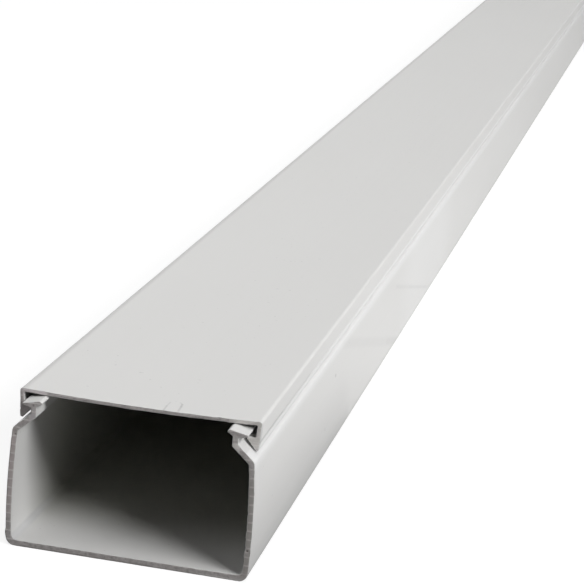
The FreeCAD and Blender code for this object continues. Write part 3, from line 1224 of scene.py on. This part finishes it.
    # Rubs and specks on the right side; a painted highlight along its shoulder; painted shade in the
    # inner corner of the left foot; painted shade towards the right foot, most near the mouth; and a
    # broad painted light on the right side
    channel_rubs_and_painted_light: tuple[Stroke, ...] = (
        Stroke((-381.8, 19.4), (-305.4, 1.1), 1.4, 0.02, Face.RIGHT),
        Stroke((-364.0, 15.2), (-308.0, 1.8), 0.6, 0.10, Face.RIGHT),
        Stroke((-345.0, 10.6), (-312.0, 2.7), 0.5, 0.08, Face.RIGHT),
        Stroke((-426.9, 19.4), (-356.6, 1.0), 1.5, 0.075, Face.RIGHT),
        Stroke((-372.0, 5.1), (-356.5, 1.1), 1.1, 0.07, Face.RIGHT),
        Stroke((-433.7, 14.95), (-433.3, 14.85), 0.5, 0.42, Face.RIGHT),
        Stroke((-441.1, 6.77), (-440.9, 6.7), 0.5, 0.26, Face.RIGHT),
        # Painted highlight along the right shoulder
        Stroke((-500.0, 20.1), (500.0, 20.1), 2.3, 0.6, Face.RIGHT, grey(0.80)),
        # Painted shade in the inner corner of the left foot, by the mouth
        Stroke((-18.7, 1.35), (-18.6, 1.25), 0.95, 1.0, Face.MOUTH, grey(0.57)),
        # Painted shade darkening the right side towards its foot, most near the mouth
        Stroke((-500.0, 0.0), (-428.0, 0.0), 16.0, 0.13, Face.RIGHT_SKIN),
        Stroke((-500.0, 0.5), (-418.0, 0.5), 5.0, 0.15, Face.RIGHT_SKIN),
        Stroke((-500.0, 0.4), (500.0, 0.4), 2.2, 0.18, Face.RIGHT_SKIN),
        # Painted light brightening a broad area of the right side
        Stroke((-322.0, 13.0), (-308.0, 7.0), 45.0, 0.3, Face.RIGHT_SKIN, grey(0.80)),
    )

    def build(self) -> None:
        """Make both pieces and dress them."""
        crown_height = self.cover.crown_height(self.channel)
        channel = Extrusion(
            "channel", "base_channel", "channel", "channel_pvc",
            rounded(self.channel.outline(crown_height), self.arc_steps),
            SawCut(3, dents=self.channel_dents, pits=self.channel_pits),
            SawCut(8),
        )
        channel.build(
            PvcSkin("channel_pvc", strokes=self.channel_rubs_and_painted_light).material(),
            SawnFace("channel_cut", self.channel_tones_and_painted_shade).material(),
        )
        cover = Extrusion(
            "cover", "clip_cover", "cover", "cover_pvc",
            rounded(self.cover.outline(self.channel), self.arc_steps),
            SawCut(5, dents=self.cover_dents),
            SawCut(13),
        )
        cover.build(
            PvcSkin("cover_pvc", strokes=self.cover_pencil_and_painted_light).material(),
            SawnFace(
                "cover_cut", self.cover_tones_and_painted_light, (0.53, 0.50, 0.495, 1.0), streak_share=0.45
            ).material(),
        )


@dataclass(frozen=True)
class Softbox:
    """An oval lamp that points at a place: its direction from there, metres away, size, watts."""

    name: str
    direction: tuple[float, float, float]
    distance: float
    width: float
    height: float
    power: float
    aim: tuple[float, float, float] = (0.0, -0.49, 0.012)

    def place(self) -> None:
        """Make the lamp, with its width level."""
        data = bpy.data.lights.new(self.name, "AREA")
        data.shape = "ELLIPSE"
        data.size = self.width
        data.size_y = self.height
        data.energy = self.power
        lamp = new_object(self.name, data)
        towards = unit(np.array(self.direction))
        lamp.location = np.array(self.aim) + towards * self.distance
        around = math.atan2(towards[1], towards[0]) + math.pi / 2
        lamp.rotation_euler = Euler((math.acos(towards[2]), 0.0, around))


@dataclass(frozen=True)
class Floor:
    """A white paper floor. It shows white but for shadows, and throws light up behind one line.

    In front of the line it throws hardly any, because a length of trunking is laid with its cut
    end past the edge of the table. Lengths are in metres.
    """

    half_size: float = 6.0
    glow: float = 0.8
    seen_grey: float = 0.3
    bounce_grey: float = 0.85
    front_grey: float = 0.02
    edge_point: tuple[float, float] = (0.020, -0.402)
    edge_normal: tuple[float, float] = (0.945, 0.326)
    edge_softness: float = 0.012

    def material(self) -> bpy.types.Material:
        """Make the material.

        Returns:
            The finish: a glowing paper to the camera, and a plain one to the light.
        """
        made, graph = new_material("floor_paper")
        across, along, _ = graph.axes()
        behind = (across * MM - self.edge_point[0]) * self.edge_normal[0]
        behind = behind + (along * MM - self.edge_point[1]) * self.edge_normal[1]
        share = graph.ease(behind, -self.edge_softness, self.edge_softness)
        bounce = graph.mix(share, grey(self.front_grey), grey(self.bounce_grey))
        hidden = graph.add("ShaderNodeBsdfDiffuse", sockets={"Color": bounce})
        paper = graph.add("ShaderNodeBsdfDiffuse", sockets={"Color": grey(self.seen_grey)})
        glow = graph.add("ShaderNodeEmission", sockets={"Color": grey(1.0), "Strength": self.glow})
        lit = graph.add("ShaderNodeAddShader", sockets={0: graph.value(paper), 1: graph.value(glow)})
        surface = graph.add("ShaderNodeMixShader", sockets={
            0: graph.seen(), 1: graph.value(hidden), 2: graph.value(lit),
        })
        graph.output("ShaderNodeOutputMaterial", graph.value(surface))
        return made

    def build(self) -> None:
        """Lay the floor."""
        corners = np.array([[-1, -1, 0], [1, -1, 0], [1, 1, 0], [-1, 1, 0]]) * self.half_size
        mesh = bpy.data.meshes.new("floor")
        mesh.from_pydata(corners.tolist(), [], [(0, 1, 2, 3)])
        mesh.materials.append(self.material())
        floor = new_object("floor", mesh)
        floor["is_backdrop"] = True


@dataclass(frozen=True)
class Studio:
    """The floor, soft lamps, and the camera at the photograph's angle.

    The back lamp is for the sides that the photograph doesn't show. Places are in metres, turns
    in degrees, and the lens and its sensor in millimetres.
    """

    floor: Floor = Floor()
    sky: float = 0.01
    backdrop: float = 1.0
    camera_place: tuple[float, float, float] = (0.07978, -0.79611, 0.12677)
    camera_turn: tuple[float, float, float] = (75.2009, -4.6282, 12.0598)
    lens: float = 128.53
    sensor: float = 36.0
    clip_start: float = 0.01
    lamps: tuple[Softbox, ...] = (
        Softbox("key_lamp", (0.712, -0.316, 0.627), 1.5, 0.80, 0.58, 19.2),
        Softbox("fill_lamp", (-0.69, -0.32, 0.65), 1.6, 1.0, 1.0, 2.7),
        Softbox("top_lamp", (0.0, 0.15, 1.0), 2.4, 2.0, 2.0, 23.8, (0.0, 0.0, 0.0)),
        Softbox("back_lamp", (-0.80, 0.56, 0.22), 2.0, 1.2, 0.5, 5.0, (0.0, 0.0, 0.012)),
    )

    def world(self) -> None:
        """White behind everything, and a low even light from all round."""
        world = bpy.data.worlds.new("studio")
        world.use_nodes = True
        graph = Graph(world.node_tree)
        strength = self.sky + graph.seen() * (self.backdrop - self.sky)
        back = graph.add("ShaderNodeBackground", sockets={"Color": grey(1.0), "Strength": strength})
        graph.output("ShaderNodeOutputWorld", graph.value(back))
        bpy.context.scene.world = world

    def camera(self) -> None:
        """Stand the camera where the photograph was taken."""
        data = bpy.data.cameras.new("camera")
        data.sensor_width = self.sensor
        data.lens = self.lens
        data.clip_start = self.clip_start
        camera = new_object("camera", data)
        camera.location = self.camera_place
        camera.rotation_euler = Euler([math.radians(turn) for turn in self.camera_turn])
        bpy.context.scene.camera = camera

    def build(self) -> None:
        """Set the whole studio up."""
        self.floor.build()
        self.world()
        for lamp in self.lamps:
            lamp.place()
        self.camera()
        bpy.context.scene.view_settings.view_transform = "Standard"


def write_sizes() -> None:
    """Log the solid model's box and the visual model's box, as plain lists of metres."""
    boxes = {"cad": CAD_BOX, "visual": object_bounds()}
    rows = {name: [list(corner) for corner in box] for name, box in boxes.items()}
    for name, box in rows.items():
        LOG.info("%s box %s", name, box)


def main() -> None:
    """Build the trunking and the studio round it."""
    logging.basicConfig(level=logging.INFO, format="%(name)s: %(message)s")
    Trunking().build()
    Studio().build()
    write_sizes()


if __name__ == "__main__":
    main()
